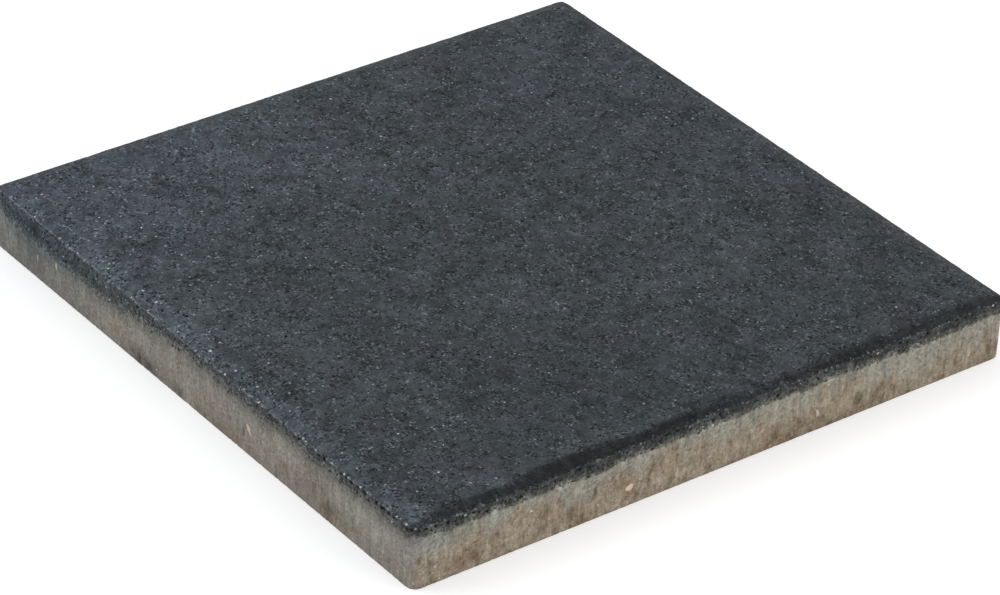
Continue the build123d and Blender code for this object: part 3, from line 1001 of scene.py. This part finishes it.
clot = g.noise(g.scaled(coords, (1000.0, 1000.0, 620.0)), 0.13, 4.0, 0.72, 16.0)
open_part = g.node("ShaderNodeValToRGB")
g.put(open_part.inputs["Fac"], clot)
stops = [(0.34, (172, 161, 144)), (0.45, (152, 140, 123)), (0.53, (141, 127, 110)), (0.6, (122, 106, 88)), (0.69, (102, 86, 69))]
cr = open_part.color_ramp
while len(cr.elements) < len(stops):
    cr.elements.new(0.5)
for e, (at, rgb) in zip(cr.elements, stops):
    e.position = at
    e.color = (*tone_of(rgb, BODY_GAIN), 1.0)
open_part = g.mix(g.math("MULTIPLY", g.ramp(g.noise(mm, 0.09, 2.0, 0.5, 24.0), 0.5, 0.68), 0.5), open_part.outputs["Color"], tone_of((148, 134, 108), BODY_GAIN))
open_part = g.mix(g.math("MULTIPLY", west, 0.6), open_part, tone_of((138, 133, 124), BODY_GAIN))
os_ = g.math("ADD", 1.0, g.math("MULTIPLY", g.math("SUBTRACT", grit, 0.5), 1.9))
os_ = g.math("ADD", os_, g.math("MULTIPLY", g.math("SUBTRACT", streak, 0.5), 1.0))
os_ = g.math("ADD", g.math("MAXIMUM", os_, 0.15), g.math("MULTIPLY", specks(0.36, (0.62, 1.0), 1.6, (0.22, 0.45), 320.0), 0.6))
hole = specks(0.28, (0.68, 0.8), 1.0, (0.16, 0.4), 500.0)
os_ = g.math("MULTIPLY", os_, g.math("SUBTRACT", 1.0, g.math("MULTIPLY", hole, 0.34)))
n = g.node("ShaderNodeVectorMath", operation="SCALE")
g.put(n.inputs[0], open_part)
g.put(n.inputs["Scale"], os_)
open_part = n.outputs[0]
body = g.mix(closed, open_part, smooth_part)
body = g.mix(g.ramp(a_grain, 0.1, 0.75, 0.0, 0.75), body, g.mix(a_tone, tone_of((150, 140, 122), SIDE_GAIN), tone_of((205, 196, 180), SIDE_GAIN)))

# ragged line between the two mixes
rag = g.math("MULTIPLY", g.math("SUBTRACT", g.noise(streaky, 0.3, 3.0, 0.6, 19.0), 0.5), 5.0)
rag = g.math("ADD", rag, g.math("MULTIPLY", g.math("SUBTRACT", g.noise(mm, 0.45, 2.0, 0.6, 20.0), 0.5), 3.5))
is_face = g.ramp(g.math("MULTIPLY", g.math("ADD", a_above, rag), g.math("SUBTRACT", 1.0, g.math("MULTIPLY", west, 0.78))), -0.5, 0.5)
side = g.mix(is_face, body, rough_mix)
n = g.node("ShaderNodeVectorMath", operation="MULTIPLY")
g.put(n.inputs[0], side)
g.put(n.inputs[1], a_wash)
side = n.outputs[0]
n = g.node("ShaderNodeVectorMath", operation="SCALE")
g.put(n.inputs[0], spot_node.outputs["Color"])
g.put(n.inputs["Scale"], g.math("ADD", 1.0, g.math("ADD", g.math("MULTIPLY", g.math("SUBTRACT", grit, 0.5), 0.9), g.math("MULTIPLY", g.math("SUBTRACT", clot, 0.5), 0.9))))
side = g.mix(spot_node.outputs["Alpha"], side, n.outputs[0])

colour = g.mix(a_up, side, face)
# pits and broken-out holes get painted shade: their colour is darkened down to a tenth towards the bottom
pit_shade = g.ramp(a_pit, 0.12, 0.85, 1.0, 0.1)
n = g.node("ShaderNodeVectorMath", operation="SCALE")
g.put(n.inputs[0], colour)
g.put(n.inputs["Scale"], pit_shade)
colour = n.outputs[0]

# --- fine relief
bumps = g.math("ADD", g.math("MULTIPLY", fine, 0.6), g.math("MULTIPLY", sand_light, 0.5))
bumps = g.math("SUBTRACT", bumps, g.math("MULTIPLY", pore_dark, 0.6))
side_bumps = g.math("ADD", g.math("MULTIPLY", grit, 0.5), g.math("MULTIPLY", streak, 0.6))
side_bumps = g.math("ADD", side_bumps, g.math("MULTIPLY", g.math("MULTIPLY", lump, is_face), 1.2))
relief_mix = g.node("ShaderNodeMix", data_type="FLOAT")
g.put(relief_mix.inputs[0], a_up)
g.put(relief_mix.inputs[2], side_bumps)
g.put(relief_mix.inputs[3], bumps)
bump = g.node("ShaderNodeBump")
bump.inputs["Strength"].default_value = 0.8
bump.inputs["Distance"].default_value = 0.0007
g.put(bump.inputs["Height"], relief_mix.outputs[0])

shader = g.node("ShaderNodeBsdfPrincipled")
g.put(shader.inputs["Base Color"], colour)
rough = g.math("ADD", 0.72, g.math("MULTIPLY", fine, 0.2))
rough = g.math("SUBTRACT", rough, g.math("MULTIPLY", a_bevel, 0.1))
g.put(shader.inputs["Roughness"], rough)
shader.inputs["Specular IOR Level"].default_value = 0.22
g.put(shader.inputs["Normal"], bump.outputs["Normal"])
out = g.node("ShaderNodeOutputMaterial")
g.tree.links.new(shader.outputs[0], out.inputs["Surface"])
mesh.materials.append(concrete)

# ---------------------------------------------------------------- floor, light and camera

floor_mesh = bpy.data.meshes.new("floor")
floor_mesh.from_pydata([(-20, -20, 0), (20, -20, 0), (20, 20, 0), (-20, 20, 0)], [], [(0, 1, 2, 3)])
floor = bpy.data.objects.new("floor", floor_mesh)
bpy.context.scene.collection.objects.link(floor)
floor.location.z = -0.0002
pale = bpy.data.materials.new("pale_floor")
f = Graph(pale)
floor_shader = f.node("ShaderNodeBsdfPrincipled")
floor_shader.inputs["Base Color"].default_value = (0.62, 0.62, 0.62, 1.0)
floor_shader.inputs["Emission Color"].default_value = (1.0, 1.0, 1.0, 1.0)
floor_shader.inputs["Emission Strength"].default_value = 0.42
floor_shader.inputs["Roughness"].default_value = 0.9
floor_shader.inputs["Specular IOR Level"].default_value = 0.1
f_out = f.node("ShaderNodeOutputMaterial")
f.tree.links.new(floor_shader.outputs[0], f_out.inputs["Surface"])
floor_mesh.materials.append(pale)

world = bpy.data.worlds.new("studio")
bpy.context.scene.world = world
world.use_nodes = True
world.node_tree.nodes["Background"].inputs["Color"].default_value = (1.0, 1.0, 1.0, 1.0)
world.node_tree.nodes["Background"].inputs["Strength"].default_value = 0.92


def area(name, location, target, size, power, colour=(1.0, 1.0, 1.0)):
    light = bpy.data.lights.new(name, "AREA")
    light.shape = "RECTANGLE"
    light.size, light.size_y = size
    light.energy = power
    light.color = colour
    o = bpy.data.objects.new(name, light)
    o.location = location
    o.rotation_mode = "QUATERNION"
    o.rotation_quaternion = (Vector(target) - Vector(location)).to_track_quat("-Z", "Y")
    bpy.context.scene.collection.objects.link(o)
    return o


area("softbox_left", (-1.5, 1.0, 1.7), (0, 0, 0), (1.4, 1.4), 17.0, (0.88, 0.95, 1.0))
area("softbox_front", (1.3, -2.6, 1.1), (0, 0, 0.02), (1.8, 1.2), 26.0, (1.0, 0.97, 0.93))

YAW, PITCH, ROLL = 0.668252, 0.565265, 0.049216
SHIFT_X, SHIFT_Y, DISTANCE, FOCAL = -5.116388, -1.058075, 3305.758906, 4756.135069
forward = np.array([math.sin(YAW) * math.cos(PITCH), math.cos(YAW) * math.cos(PITCH), -math.sin(PITCH)])
right = np.array([math.cos(YAW), -math.sin(YAW), 0.0])
up = np.cross(right, forward)
r2 = math.cos(ROLL) * right + math.sin(ROLL) * up
u2 = -math.sin(ROLL) * right + math.cos(ROLL) * up
at = (-DISTANCE * forward - SHIFT_X * r2 - SHIFT_Y * u2) / 1000.0
camera = bpy.data.objects.new("camera", bpy.data.cameras.new("camera"))
bpy.context.scene.collection.objects.link(camera)
camera.matrix_world = Matrix([[r2[0], u2[0], -forward[0], at[0]], [r2[1], u2[1], -forward[1], at[1]],
                              [r2[2], u2[2], -forward[2], at[2]], [0, 0, 0, 1]])
camera.data.sensor_fit = "HORIZONTAL"
camera.data.sensor_width = 36.0
camera.data.lens = FOCAL * 36.0 / 1000.0
camera.data.clip_end = 100.0
bpy.context.scene.camera = camera
bpy.context.scene.view_settings.view_transform = "Standard"
bpy.context.scene.view_settings.look = "None"

print("triangles", len(faces), "strip", len(strip_tri), "top", len(top_tri), "bed", len(bed_tri))
